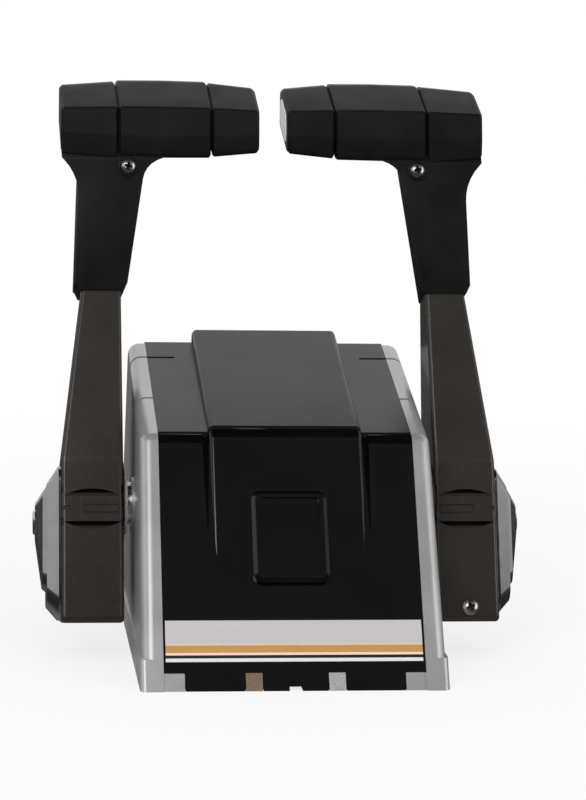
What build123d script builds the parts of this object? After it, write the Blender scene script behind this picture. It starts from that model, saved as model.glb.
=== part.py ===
from build123d import *
import os
from math import acos, atan2, cos, pi, radians, sin, tan

# Twin-lever engine control for a boat's console: two levers on a cast and moulded top-mount
# housing, each turning its own shaft, brake, detent, throttle crank and geared shift arm.
# Millimetres. X to starboard, Y ahead (away from the helmsman), Z up from the console face.
# The origin is the centre of the housing's bottom face.

# ---- housing, driving dimensions -------------------------------------------------
core_width = 110.0        # black mouldings, between the side castings
side_plate_t = 9.0        # side casting, at its foot above the plinth
plinth_step = 0.8         # plinth stands proud of the side casting
plinth_h = 12.0
side_draft = 0.7          # draft angle of the side castings, degrees
side_round = 5.0          # rounding of the side castings' outer edge
foot_depth = 185.0        # front foot to rear foot
brow_y = -31.5            # edge between front panel and lid
brow_z = 96.6
crest_y = 70.7            # edge between lid and rear cover
crest_z = 124.9
wall = 4.0                # moulded panels
band_width = 66.6         # raised centre band
band_rise_front = 2.6
band_rise_rear = 6.0
band_round = 2.5
valley_w = 2.8            # tapered valley beside the band, at the brow
valley_depth = 2.6
valley_floor_w = 1.6
valley_foot = 58.0        # where band and valleys die out, up the panel from its foot
brow_seam = 1.2           # shadow gap between the panel's lip and the lid
lid_proud = 0.5           # lid stands this far above the panel's line
lid_lap = 4.0             # panel's tongue under the lid
seat_gap = 0.3            # clearance of parts dropped into their seats
corner_foot_w = 9.0       # side castings' feet that wrap under the panel's corners
corner_foot_h = 6.9
clip_w = 7.6              # sheet-metal clips in the panel's bottom edge
clip_h = 7.0
clip_x = 17.4
clip_foot = 16.0
clip_t = 1.2
center_notch_w = 5.5
center_notch_h = 1.6
brow_round = 7.5          # rounding across brow and crest
crest_round = 4.0
rail_proud = 0.7          # side castings stand proud of the black mouldings
rail_brow_round = 6.0
rail_crest_round = 7.0
plinth_round = 2.5

# ---- badge, label and rail inserts -----------------------------------------------
badge_w = 32.3
badge_h = 41.3
badge_foot = 47.1         # lower edge, up the panel from its foot
badge_t = 3.6             # height of the bezel above the panel
badge_corner = 4.0
badge_rim = 3.4
badge_bevel = 1.6
badge_plate_t = 1.2
badge_plate_sink = 0.7
label_margin = 1.0        # decal to the panel's side edges
label_h = 18.1
label_foot = 12.8
label_t = 0.35
insert_front_y = 5.2
insert_rear_y = 49.2
insert_drop = 7.5         # height of the rail insert below the rail's top
insert_seam = 1.6
lid_slot_len = 12.5       # short slots that run on from the rear seam into the lid
lid_slot_depth = 1.5

# ---- base plate and its interfaces -----------------------------------------------
base_t = 5.0
bolt_inset = 8.0          # bolt rows to the black mouldings' sides
bolt_spacing_y = 140.0
bolt_hole_r = 3.25
spine_w = 28.0            # bridge between the two cable cut-outs
cutout_rim = 10.0         # base plate left outboard of a cut-out
cutout_front_y = -59.0
cutout_rear_y = 63.0

# ---- shafts and running gear -----------------------------------------------------
pivot_z = 61.0
rest_lean = 21.0          # levers lean this far ahead of upright at rest, degrees
shaft_r = 5.0
running_gap = 0.05
shaft_inner_x = 0.6
shaft_end_in_arm = 20.0
bush_flange_r = 10.0
bush_body_r = 7.25
bush_tail = 2.5
pad_r = 12.0              # machined pad round the bush
pad_proud = 0.4
thrust_gap = 0.2
washer_r = 13.0
washer_t = 1.5
boss_r = 19.0
boss_t = 0.6
drum_r = 10.0             # friction drum, turned on the shaft
drum_w = 9.0
pad_gap = 0.2
brake_pad_w = 7.0
brake_pad_len = 15.0
brake_shelf_z = 40.0
brake_shelf_t = 5.0
cam_r = 15.0
cam_w = 6.0
notch_r = 3.2
notch_offset = 1.9        # notch centre outside the cam's rim
detent_turns = (-21.0, -56.0, 9.0)   # neutral, astern and ahead notches, from rest
leaf_t = 0.9
leaf_front = 7.0
leaf_rear_y = 25.0
nose_r = 3.0
post_y = 17.0
gear_module = 2.0
gear_teeth = 18
gear_w = 7.0
gear_hub_len = 5.0
pressure_angle = 20.0
tooth_backlash = 0.25
gear_hub_r = 7.5
crank_t = 6.0
crank_len = 28.0
crank_hub_r = 9.0
crank_tip_r = 6.0
crank_rest_rise = 15.0    # crank stands this far above level at rest, degrees
cable_pin_r = 2.5
cable_pin_root_r = 3.0    # riveted end, in the arm's eye
cable_pin_free = 8.0
rod_r = 4.0
rod_boss_r = 7.5
rod_boss_h = 4.0
web_t = 12.0
web_margin = 11.0
web_foot_t = 4.0
web_foot_front_y = -30.0
web_foot_rear_y = 54.0
clamp_bore_r = 4.0
clamp_len = 14.0
clamp_w = 14.0
clamp_z = 9.0
clamp_y_offset = 22.0
clamp_slit = 1.4
clamp_inner_wall = 3.0

# ---- levers, in their own upright frame: height above the pivot, X outwards ------
lever_gap = 3.7           # lever's inner face to the side casting
lever_w = 27.1
lever_half_depth = 18.3
lever_neck_half_depth = 8.9
lever_foot = 55.0         # front lower corner, below the pivot
lever_foot_slant = 8.0    # foot rises towards its rear corner, degrees
lever_toe_round = 2.5
lever_heel_round = 5.0
lever_shoulder = 17.0     # where the outer face starts to taper
lever_shoulder_round = 30.0
lever_neck_w = 17.8
neck_z = 95.1             # top of the lever, where the grip's stem sits on it
lever_edge_round = 1.8
spigot_w = 11.0
spigot_half_depth = 4.0
spigot_len = 20.0
groove_depth = 1.3        # two lens-shaped grooves across the hub
groove_upper = 0.6
groove_lower = -10.6
groove_bow = 3.2
groove_margin = 1.0
hub_frame_inset = 1.6     # shallow rectangular frame between the grooves
hub_frame_w = 15.7
hub_frame_low = -7.1
hub_frame_high = -3.0
hub_frame_line = 0.7
hub_frame_depth = 0.5
hub_notch_w = 4.0         # notch at the outer end of the same band
hub_notch_h = 1.8
hub_notch_mid = -4.6
cap_center = -17.5        # chrome cap: base outline, then two stepped tiers up to its flat top
cap_half_h = 32.5
cap_half_d = 17.0
cap_lip = 1.0
cap_ledge_center = -18.5
cap_ledge_half_h = 26.0
cap_ledge_half_d = 14.0
cap_ledge_x = 6.0
cap_tier_center = -15.5
cap_tier_half_h = 22.4
cap_tier_half_d = 12.6
cap_step_center = -16.1
cap_step_half_h = 20.3
cap_step_half_d = 11.6
cap_step_x = 7.8
cap_top_center = -8.0
cap_top_half_h = 7.6
cap_top_half_d = 7.6
cap_x = 10.8
cap_corner_share = 0.42   # corner radius of each outline, as a share of its half depth
button_r = 5.6
button_gap = 0.1
button_proud = 1.0
button_collar_r = 7.4
button_collar_t = 1.5
button_chamber_r = 8.0
button_chamber_h = 5.4
button_dome = 0.7

# ---- grips: section given level, as it lies at rest, from its front lower corner ------
grip_inner_x = 6.3        # inboard end, from the centre line
grip_outer_reach = 26.8   # outboard end, past the lever's inner face
grip_groove_in = 21.9     # inner groove, from the inboard end
grip_groove_out = 0.9     # outer groove, past the lever's inner face
grip_foot_y = -16.3       # front lower corner, in the lever's frame
grip_foot_z = 156.0
grip_front_h = 9.5        # lower front facet
grip_front_lean = 0.5
grip_cheek_h = 20.0       # front edge of the palm face
grip_cheek_lean = 3.5
grip_depth = 43.0
grip_palm_depth = 38.0
grip_palm_h = 31.5
grip_rear_h = 30.5
grip_keel_depth = 39.7    # rear lower edge; the underside climbs to it
grip_keel_h = 12.0
grip_toe_depth = 6.0
grip_round = 2.4
grip_mean_half = 14.0     # mean distance from the section's middle to its faces
grip_end_shrink = 0.93
grip_end_bevel = 1.2
grip_groove_half = 1.2
grip_groove_depth = 2.0
pad_thickness = 3.4
end_plate_inset = 4.2
end_plate_t = 1.2
stem_lip = 1.2            # stem's overhang round the lever's neck
stem_lean_in = 8.6        # inner edge slants inboard by this much
stem_inner_top = 152.8    # where the inner edge turns under the bar
stem_inner_round = 10.0
stem_keel_x = 22.0        # inboard end of the keel under the bar
stem_keel_top = 154.2
stem_keel_run = 7.0
stem_waist_reach = 18.3   # outer edge's waist, past the lever's inner face
stem_waist_z = 143.0
stem_outer_round = 12.0
stem_outer_reach = 27.8
stem_outer_z = 157.5
stem_half_depth = 9.9
stem_back_y = -3.0        # rear face where it enters the bar
stem_top = 168.0
stem_edge_round = 1.6

# ---- values worked out from the above ----------------------------------------------
core_half = core_width / 2
front_y = -foot_depth / 2
rear_y = foot_depth / 2
side_out_x = core_half + side_plate_t
plinth_x = side_out_x + plinth_step
pad_face_x = side_out_x + pad_proud
panel_lean = atan2(brow_y - front_y, brow_z)
lid_slope = atan2(crest_z - brow_z, crest_y - brow_y)
gear_pitch_r = gear_module * gear_teeth / 2
shift_y = 2 * gear_pitch_r
bush_bore_r = shaft_r + running_gap
rod_bore_r = rod_r + running_gap
lever_in_x = plinth_x + lever_gap
lever_out_x = lever_in_x + lever_w
bush_flange_t = lever_in_x - boss_t - washer_t - thrust_gap - pad_face_x
web_top = pivot_z + web_margin
label_w = core_width - 2 * label_margin
bolt_spacing_x = core_width - 2 * bolt_inset
cutout_w = core_half - cutout_rim - spine_w / 2
stage_gap = (
    core_half - rod_boss_h - web_t / 2 - drum_w - cam_w - gear_w - gear_hub_len - crank_t
) / 4
drum_x = web_t / 2 + stage_gap
cam_x = drum_x + drum_w + stage_gap
gear_x = cam_x + cam_w + stage_gap
crank_x = gear_x + gear_w + gear_hub_len
cable_x = crank_x - cable_pin_free / 2
clamp_inner_x = cable_x - clamp_bore_r - clamp_inner_wall
brow_turn = pi / 2 - panel_lean - lid_slope
seam_y = brow_y + brow_round * tan(brow_turn / 2) * cos(lid_slope)
lid_front_y = seam_y + brow_seam
lap_end_y = lid_front_y + lid_lap
panel_plane = Plane(
    origin=(0, front_y, 0), x_dir=(1, 0, 0), z_dir=(0, -cos(panel_lean), sin(panel_lean))
)
outline = [(front_y, 0), (brow_y, brow_z), (crest_y, crest_z), (rear_y, 0)]

os.makedirs("parts", exist_ok=True)


def side_prism(points, x0, x1):
    """Prism along X over a (Y, Z) outline."""
    return extrude(Plane.YZ.offset(x0) * Polygon(*points, align=None), amount=x1 - x0, dir=(1, 0, 0))


def rounded_outline(points, radii):
    """Polygon whose corners are rounded by the radius listed for each (0 leaves it sharp)."""
    face = Polygon(*points, align=None)
    for point, radius in zip(points, radii):
        if radius > 0:
            corner = face.vertices().sort_by_distance(Vector(*point, 0))[0]
            face = fillet(corner, radius)
    return face


def rounded_prism(points, radii, x0, x1):
    """Prism along X over a (Y, Z) outline with rounded corners."""
    return extrude(Plane.YZ.offset(x0) * rounded_outline(points, radii), amount=x1 - x0, dir=(1, 0, 0))


def front_prism(points, y0, y1):
    """Prism along Y over an (X, Z) outline."""
    return extrude(Plane.XZ.offset(-y1) * Polygon(*points, align=None), amount=y1 - y0, dir=(0, -1, 0))


def block(x0, x1, y0, y1, z0, z1):
    """Plain block between corner values."""
    return Pos((x0 + x1) / 2, (y0 + y1) / 2, (z0 + z1) / 2) * Box(x1 - x0, y1 - y0, z1 - z0)


def rod_x(radius, x0, x1, y=0.0, z=0.0):
    """Cylinder along X."""
    return Pos(x0, y, z) * Rot(0, 90, 0) * Cylinder(radius, x1 - x0, align=(Align.CENTER, Align.CENTER, Align.MIN))


def disc_x(sketch, x0, x1, y=0.0, z=0.0):
    """A flat (Y, Z) outline about (y, z), extruded along X."""
    frame = Plane(origin=(x0, y, z), x_dir=(0, 1, 0), z_dir=(1, 0, 0))
    return extrude(frame * sketch, amount=x1 - x0, dir=(1, 0, 0))


def save(solid, name):
    """Write one piece."""
    solid.label = name
    export_step(solid, f"parts/{name}.step")


def save_pair(solid, name):
    """Write a starboard piece and its port mirror image."""
    save(solid, f"right_{name}")
    save(mirror(solid, about=Plane.YZ), f"left_{name}")


def slope_z(y):
    """Height at y of the line from brow to crest."""
    return brow_z + (y - brow_y) * tan(lid_slope)


def raised(points, amount):
    """A four-point side outline with its brow and crest raised."""
    foot_front, brow, crest, foot_rear = points
    return [foot_front, (brow[0], brow[1] + amount), (crest[0], crest[1] + amount), foot_rear]


def band_prism(points):
    """The raised centre band over a side outline, with its long edges rounded."""
    solid = rounded_prism(points, corner_radii, -band_width / 2, band_width / 2)
    edges = [
        edge
        for edge in solid.edges()
        if abs(abs(edge.center().X) - band_width / 2) < 0.01 and edge.center().Z > valley_foot + wall
    ]
    return fillet(edges, band_round)


# ---- housing mouldings: one envelope, hollowed and split along its seams ------------
band_outline = [
    (front_y + valley_foot * sin(panel_lean), valley_foot * cos(panel_lean)),
    (brow_y, brow_z + band_rise_front),
    (crest_y, crest_z + band_rise_rear),
    (rear_y - (rear_y - crest_y) * valley_foot / crest_z, valley_foot),
]
corner_radii = (0, brow_round, crest_round, 0)
inner_face = offset(Polygon(*outline, align=None), amount=-wall, kind=Kind.INTERSECTION)
inner_block = extrude(Plane.YZ.offset(-core_half) * inner_face, amount=core_width, dir=(1, 0, 0))
inner_block = inner_block + Pos(0, 0, -wall) * inner_block
envelope = rounded_prism(outline, corner_radii, -core_half, core_half)
panel_shell = (envelope + band_prism(band_outline)) - inner_block
lid_envelope = rounded_prism(raised(outline, lid_proud), corner_radii, -core_half, core_half)
lid_shell = (lid_envelope + band_prism(raised(band_outline, lid_proud))) - inner_block

crest_cut = [
    (crest_y, crest_z),
    (crest_y - 2 * wall * sin(lid_slope) - wall, crest_z - 3 * wall),
    (crest_y - wall, 0),
    (rear_y + wall, 0),
    (rear_y + wall, crest_z + 3 * wall),
    (crest_y, crest_z + 3 * wall),
]
rear_zone = side_prism(crest_cut, -core_half, core_half)
lap_drop = wall / (2 * cos(lid_slope))
panel_cut = [
    (front_y - wall, 0),
    (front_y - wall, crest_z),
    (seam_y, crest_z),
    (seam_y, slope_z(seam_y) - lap_drop),
    (lap_end_y, slope_z(lap_end_y) - lap_drop),
    (lap_end_y, 0),
]
front_zone = side_prism(panel_cut, -core_half, core_half)

# Front panel: slanted gloss moulding; the band grows out of it between two tapering valleys.
front_panel = panel_shell & front_zone
valley_x = band_width / 2 + valley_w / 2
valley_section = Polygon(
    (-valley_w / 2, valley_depth),
    (valley_w / 2, valley_depth),
    (valley_w / 2, 0),
    (valley_floor_w / 2, -valley_depth),
    (-valley_floor_w / 2, -valley_depth),
    (-valley_w / 2, 0),
    align=None,
)
brow_mitre = valley_depth * tan(brow_turn / 2)
valley_top = brow_z / cos(panel_lean) + brow_mitre
for side in (1, -1):
    up_panel = Plane(
        origin=(panel_plane * Pos(side * valley_x, valley_top, 0)).position,
        x_dir=(1, 0, 0),
        z_dir=(0, -sin(panel_lean), -cos(panel_lean)),
    )
    mouth = up_panel * mirror(valley_section, about=Plane.XZ)
    tip = (panel_plane * Pos(side * valley_x, valley_foot, valley_depth / 3)).position
    front_panel = front_panel - Solid.make_loft([mouth.face().outer_wire(), Vertex(*tip)])
    along_lid = Plane(
        origin=(side * valley_x, brow_y - brow_mitre * cos(lid_slope), brow_z - brow_mitre * sin(lid_slope)),
        x_dir=(-1, 0, 0),
        z_dir=(0, cos(lid_slope), sin(lid_slope)),
    )
    over_brow = extrude(along_lid * valley_section, amount=lap_end_y - brow_y, dir=along_lid.z_dir)
    front_panel = front_panel - over_brow
for side in (1, -1):
    front_panel = front_panel - block(
        side * core_half - corner_foot_w, side * core_half + corner_foot_w, front_y - wall, 0, 0, corner_foot_h
    )
    front_panel = front_panel - block(
        side * clip_x - clip_w / 2, side * clip_x + clip_w / 2, front_y - wall, 0, 0, clip_h
    )
front_panel = front_panel - block(
    -center_notch_w / 2, center_notch_w / 2, front_y - wall, 0, 0, center_notch_h
)
save(front_panel, "front_panel")

# Lid, lapped over the panel's tongue, and rear cover.
lid_zone = block(-core_half, core_half, lid_front_y, crest_y + wall, 0, crest_z + 3 * wall)
top_cover = (lid_shell & lid_zone) - rear_zone - front_zone
for side in (1, -1):
    slot = block(
        core_half - lid_slot_len, core_half, insert_rear_y, insert_rear_y + insert_seam,
        slope_z(insert_rear_y) + lid_proud - lid_slot_depth, slope_z(insert_rear_y) + wall,
    )
    top_cover = top_cover - (slot if side > 0 else mirror(slot, about=Plane.YZ))
save(top_cover, "top_cover")
rear_cover = lid_shell & rear_zone
save(rear_cover, "rear_cover")

# ---- badge and label: bezel and bare plate, and the decal's carrier ------------------
badge_mid = badge_foot + badge_h / 2
bezel_base = RectangleRounded(badge_w, badge_h, badge_corner)
bezel = extrude(panel_plane * Pos(0, badge_mid) * bezel_base, amount=badge_t)
bezel_top = [face for face in bezel.faces() if face.normal_at().dot(panel_plane.z_dir) > 0.99][0]
bezel = chamfer(bezel_top.edges(), badge_bevel)
plate_face = RectangleRounded(badge_w - 2 * badge_rim, badge_h - 2 * badge_rim, badge_corner - badge_bevel)
plate_floor = badge_t - badge_plate_sink - badge_plate_t
well = extrude(panel_plane.offset(plate_floor) * Pos(0, badge_mid) * plate_face, amount=badge_t)
save(bezel - well - front_panel, "badge_bezel")
save(extrude(panel_plane.offset(plate_floor) * Pos(0, badge_mid) * plate_face, amount=badge_plate_t), "badge_plate")
label_face = panel_plane * Pos(0, label_foot + label_h / 2) * Rectangle(label_w, label_h)
save(extrude(label_face, amount=label_t), "stripe_label")

# ---- base plate: four deck bolts and two cable cut-outs ------------------------------
base_plate = inner_block & block(-core_half, core_half, front_y, rear_y, 0, base_t)
base_plate = base_plate & Pos(0, seat_gap, 0) * base_plate & Pos(0, -seat_gap, 0) * base_plate
for side in (1, -1):
    cut_x = side * (spine_w / 2 + cutout_w / 2)
    base_plate = base_plate - block(
        cut_x - cutout_w / 2, cut_x + cutout_w / 2, cutout_front_y, cutout_rear_y, 0, base_t
    )
    for end in (1, -1):
        base_plate = base_plate - Pos(side * bolt_spacing_x / 2, end * bolt_spacing_y / 2, base_t / 2) * Cylinder(
            bolt_hole_r, base_t
        )
save(base_plate, "base_plate")

# Sheet-metal clips that hold the panel's bottom edge to the base plate.
for side, name in ((-1, "left_front_clip"), (1, "right_front_clip")):
    x0 = side * clip_x - clip_w / 2 + seat_gap
    x1 = side * clip_x + clip_w / 2 - seat_gap
    tongue = (envelope - inner_block) & block(x0, x1, front_y, brow_y, 0, clip_h - seat_gap)
    tail = block(x0, x1, front_y + wall, front_y + clip_foot, base_t, base_t + clip_t)
    save(tongue + (tail - (envelope - inner_block)), name)

# ---- side castings with plinth, shaft pad, rail insert and wrapped foot --------------
plate_outline = [
    (front_y - rail_proud, 0),
    (brow_y - rail_proud, brow_z + rail_proud),
    (crest_y + rail_proud, crest_z + rail_proud),
    (rear_y + rail_proud, 0),
]
draft_x = side_out_x - (crest_z - plinth_h) * tan(radians(side_draft))
plate_section = [
    (core_half, 0),
    (plinth_x, 0),
    (plinth_x, plinth_h),
    (side_out_x, plinth_h),
    (draft_x, crest_z + rail_proud),
    (core_half, crest_z + rail_proud),
]
side_plate = rounded_prism(plate_outline, (0, rail_brow_round, rail_crest_round, 0), core_half, plinth_x)
side_plate = side_plate & front_prism(plate_section, front_y - wall, rear_y + wall)
rim_edges = [
    edge
    for edge in side_plate.edges()
    if edge.center().X > draft_x - 0.1 and edge.center().Z > plinth_h + wall and edge.center().X < side_out_x - 0.1
]
side_plate = fillet(rim_edges, side_round)
plinth_edges = [
    edge
    for edge in side_plate.edges()
    if edge.center().X > plinth_x - 0.01 and 0.1 < edge.center().Z < plinth_h - 0.1
]
side_plate = fillet(plinth_edges, plinth_round)
insert_floor = [
    (insert_front_y, slope_z(insert_front_y) - insert_drop),
    (insert_rear_y + insert_seam, slope_z(insert_rear_y + insert_seam) - insert_drop),
    (insert_rear_y + insert_seam, crest_z + wall),
    (insert_front_y, crest_z + wall),
]
insert_zone = side_prism(insert_floor, core_half, plinth_x)
insert_core = block(
    core_half, plinth_x, insert_front_y + insert_seam, insert_rear_y, brow_z - insert_drop, crest_z + wall
)
save_pair(side_plate & insert_zone & insert_core, "rail_insert")
side_plate = side_plate - insert_zone
side_plate = side_plate + rod_x(pad_r, side_out_x - side_plate_t / 2, pad_face_x, 0, pivot_z)
side_plate = side_plate + rod_x(rod_boss_r, core_half - rod_boss_h, core_half, shift_y, pivot_z)
side_plate = side_plate - rod_x(bush_body_r, core_half, pad_face_x, 0, pivot_z)
side_plate = side_plate - rod_x(rod_r, core_half - rod_boss_h, core_half, shift_y, pivot_z)
foot = (envelope - inner_block) & block(
    core_half - corner_foot_w + seat_gap, core_half, front_y, brow_y, 0, corner_foot_h - seat_gap
)
side_plate = side_plate + foot
save_pair(side_plate, "side_plate")

# Flanged bearing bush, pressed through each casting.
bush = rod_x(bush_body_r, core_half - bush_tail, pad_face_x, 0, pivot_z)
bush = bush + rod_x(bush_flange_r, pad_face_x, pad_face_x + bush_flange_t, 0, pivot_z)
bush = bush - rod_x(bush_bore_r, core_half - bush_tail, pad_face_x + bush_flange_t, 0, pivot_z)
save_pair(bush, "shaft_bush")

# ---- centre bracket: carries both shafts' inner ends, the shift rod and the brakes ----
web_outline = [
    (web_foot_front_y, base_t),
    (web_foot_rear_y, base_t),
    (web_foot_rear_y, base_t + web_foot_t),
    (shift_y + web_margin, pivot_z - web_margin),
    (shift_y + web_margin, web_top),
    (-web_margin, web_top),
    (-web_margin, pivot_z - web_margin),
    (web_foot_front_y, base_t + web_foot_t),
]
nose_z = pivot_z + cam_r + pad_gap + nose_r
leaf_z = nose_z + nose_r
bracket = side_prism(web_outline, -web_t / 2, web_t / 2)
bracket = bracket + block(
    -spine_w / 2 + seat_gap, spine_w / 2 - seat_gap, web_foot_front_y, web_foot_rear_y, base_t, base_t + web_foot_t
)
bracket = bracket + block(-web_t / 2, web_t / 2, post_y, leaf_rear_y, pivot_z, leaf_z)
bracket = bracket + block(
    -cam_x - cam_w, cam_x + cam_w, post_y, leaf_rear_y, leaf_z - brake_shelf_t, leaf_z
)
bracket = bracket + block(
    -drum_x - drum_w, drum_x + drum_w, -brake_pad_len / 2, brake_pad_len / 2, brake_shelf_z,
    brake_shelf_z + brake_shelf_t,
)
bracket = bracket - rod_x(bush_bore_r, -web_t / 2, web_t / 2, 0, pivot_z)
bracket = bracket - rod_x(rod_r, -web_t / 2, web_t / 2, shift_y, pivot_z)
save(bracket, "center_bracket")
save(rod_x(rod_r, -core_half, core_half, shift_y, pivot_z), "shift_rod")

# Brake pads under the drums, and the leaf springs whose noses ride on the detent cams.
brake_pad = block(
    drum_x + (drum_w - brake_pad_w) / 2, drum_x + (drum_w + brake_pad_w) / 2,
    -brake_pad_len / 2, brake_pad_len / 2, brake_shelf_z + brake_shelf_t, pivot_z,
)
save_pair(brake_pad - rod_x(drum_r + pad_gap, 0, core_half, 0, pivot_z), "brake_pad")
leaf = block(cam_x, cam_x + cam_w, -leaf_front, leaf_rear_y, leaf_z, leaf_z + leaf_t)
nose = rod_x(nose_r, cam_x, cam_x + cam_w, 0, nose_z)
neck = block(cam_x, cam_x + cam_w, -nose_r, nose_r, nose_z, leaf_z)
save_pair(leaf + nose + neck, "detent_spring")

# Saddle clamps that grip the two control cables' conduits on each side.
for y, name in ((-clamp_y_offset, "throttle_clamp"), (shift_y + clamp_y_offset, "shift_clamp")):
    clamp = block(clamp_inner_x, core_half, y - clamp_w / 2, y + clamp_w / 2, clamp_z, clamp_z + clamp_len)
    clamp = clamp - Pos(cable_x, y, clamp_z + clamp_len / 2) * Cylinder(clamp_bore_r, clamp_len)
    clamp = clamp - block(
        clamp_inner_x, cable_x, y - clamp_slit / 2, y + clamp_slit / 2, clamp_z, clamp_z + clamp_len
    )
    save_pair(clamp, name)


# ---- running gear on each lever's shaft ----------------------------------------------
def gear_face(phase):
    """Involute spur gear outline, one tooth centred on the angle given in degrees."""
    pitch_r = gear_pitch_r
    tip_r = pitch_r + gear_module
    root_r = pitch_r - 1.25 * gear_module
    base_r = pitch_r * cos(radians(pressure_angle))
    involute = tan(radians(pressure_angle)) - radians(pressure_angle)
    half_tooth = pi / (2 * gear_teeth) - tooth_backlash / (4 * pitch_r)
    flank_radii = [base_r + (tip_r - base_r) * share for share in (0, 0.25, 0.6, 1.0)]
    points = []
    for tooth in range(gear_teeth):
        middle = radians(phase) + 2 * pi * tooth / gear_teeth
        flank = [(root_r, half_tooth + involute)]
        for radius in flank_radii:
            press = acos(base_r / radius)
            flank.append((radius, half_tooth + involute - (tan(press) - press)))
        for radius, angle in flank:
            points.append((radius * cos(middle - angle), radius * sin(middle - angle)))
        for radius, angle in reversed(flank):
            points.append((radius * cos(middle + angle), radius * sin(middle + angle)))
    return Polygon(*points, align=None)


def crank_plate(y, bore_r, direction):
    """Flat arm from a hub at (y, pivot) to a cable pin's eye, pointing along an angle in degrees."""
    reach = Pos(crank_len * cos(radians(direction)), crank_len * sin(radians(direction)))
    outline_2d = make_hull((Circle(crank_hub_r) + reach * Circle(crank_tip_r)).edges())
    outline_2d = outline_2d - Circle(bore_r) - reach * Circle(cable_pin_root_r)
    return disc_x(outline_2d, crank_x, crank_x + crank_t, y, pivot_z)


def cable_pin(y, direction):
    """Shouldered pin riveted in the arm's eye, with its free length towards the centre line."""
    pin_y = y + crank_len * cos(radians(direction))
    pin_z = pivot_z + crank_len * sin(radians(direction))
    root = rod_x(cable_pin_root_r, crank_x, crank_x + crank_t, pin_y, pin_z)
    return root + rod_x(cable_pin_r, crank_x - cable_pin_free, crank_x, pin_y, pin_z)


shaft = rod_x(shaft_r, shaft_inner_x, lever_in_x + shaft_end_in_arm, 0, pivot_z)
shaft = shaft + rod_x(drum_r, drum_x, drum_x + drum_w, 0, pivot_z)
save_pair(shaft, "shaft")
cam = Circle(cam_r) - Circle(shaft_r)
for turn in detent_turns:
    notch_angle = radians(90 + turn)
    notch_reach = cam_r + notch_offset
    cam = cam - Pos(notch_reach * cos(notch_angle), notch_reach * sin(notch_angle)) * Circle(notch_r)
save_pair(disc_x(cam, cam_x, cam_x + cam_w, 0, pivot_z), "detent_cam")
drive_gear = disc_x(gear_face(0) - Circle(shaft_r), gear_x, gear_x + gear_w, 0, pivot_z)
save_pair(drive_gear, "drive_gear")
save_pair(crank_plate(0, shaft_r, 180 - crank_rest_rise), "throttle_crank")
save_pair(cable_pin(0, 180 - crank_rest_rise), "throttle_pin")

# Geared shift arm, which turns on the rod the opposite way to its lever.
half_pitch = 180 / gear_teeth
shift_gear = disc_x(gear_face(180 + half_pitch), gear_x, gear_x + gear_w, shift_y, pivot_z)
shift_gear = shift_gear + rod_x(gear_hub_r, gear_x, crank_x, shift_y, pivot_z)
shift_gear = shift_gear - rod_x(rod_bore_r, gear_x, crank_x, shift_y, pivot_z)
save_pair(shift_gear, "shift_gear")
save_pair(crank_plate(shift_y, rod_bore_r, crank_rest_rise), "shift_arm")
save_pair(cable_pin(shift_y, crank_rest_rise), "shift_pin")

# ---- lever casting, in its upright frame, then leaned to its rest ---------------------
tilt = Pos(0, 0, pivot_z) * Rot(-rest_lean, 0, 0)
neck_out_x = lever_in_x + lever_neck_w
heel_z = -lever_foot + 2 * lever_half_depth * tan(radians(lever_foot_slant))
lever_front = [
    (lever_in_x, -lever_foot - wall),
    (lever_out_x, -lever_foot - wall),
    (lever_out_x, lever_shoulder),
    (neck_out_x, neck_z),
    (lever_in_x, neck_z),
]
lever_side = [
    (-lever_half_depth, -lever_foot),
    (lever_half_depth, heel_z),
    (lever_half_depth, lever_shoulder),
    (lever_neck_half_depth, neck_z),
    (-lever_neck_half_depth, neck_z),
    (-lever_half_depth, lever_shoulder),
]
bend = lever_shoulder_round
front_face = rounded_outline(lever_front, (0, 0, bend, 0, 0))
lever_reach_y = lever_half_depth + wall
lever = extrude(Plane.XZ.offset(-lever_reach_y) * front_face, amount=2 * lever_reach_y, dir=(0, -1, 0))
side_radii = (lever_toe_round, lever_heel_round, bend, 0, 0, bend)
lever = lever & rounded_prism(lever_side, side_radii, lever_in_x, lever_out_x)
lever = fillet([edge for edge in lever.edges() if edge.center().Z < neck_z - lever_edge_round], lever_edge_round)
lens_mid_x = (lever_in_x + lever_out_x) / 2
frame_mid_x = lever_in_x + hub_frame_inset + hub_frame_w / 2
frame_h = hub_frame_high - hub_frame_low
frame_face = Rectangle(hub_frame_w, frame_h) - Rectangle(hub_frame_w - 2 * hub_frame_line, frame_h - 2 * hub_frame_line)
for sense in (1, -1):
    # Two lens-shaped scoops across the hub; each floor slopes out to its lower edge.
    for level, bow in ((groove_upper, groove_bow), (groove_lower, -groove_bow)):
        start = (lever_in_x + groove_margin, level)
        end = (lever_out_x - groove_margin, level)
        lens = make_face([ThreePointArc(start, (lens_mid_x, level + bow), end), Line(end, start)])
        lens_plane = Plane.XZ.offset(sense * (lever_half_depth - groove_depth))
        scoop = extrude(lens_plane * lens, amount=2 * groove_depth, dir=(0, -sense, 0))
        low = min(level, level + bow)
        high = max(level, level + bow)
        face_y = -sense * lever_half_depth
        wedge = [
            (face_y, low),
            (face_y + sense * groove_depth, high),
            (face_y - sense * groove_depth, high),
            (face_y - sense * groove_depth, low),
        ]
        lever = lever - (scoop & side_prism(wedge, lever_in_x, lever_out_x))
    hub_plane = Plane.XZ.offset(sense * (lever_half_depth - hub_frame_depth))
    ring = hub_plane * Pos(frame_mid_x, (hub_frame_low + hub_frame_high) / 2) * frame_face
    notch_mid = (lever_out_x - hub_notch_w / 2, hub_notch_mid)
    notch_face = hub_plane * Pos(*notch_mid) * Rectangle(hub_notch_w, hub_notch_h)
    for line in (ring, notch_face):
        lever = lever - extrude(line, amount=2 * hub_frame_depth, dir=(0, -sense, 0))
neck_mid_x = (lever_in_x + neck_out_x) / 2
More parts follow.
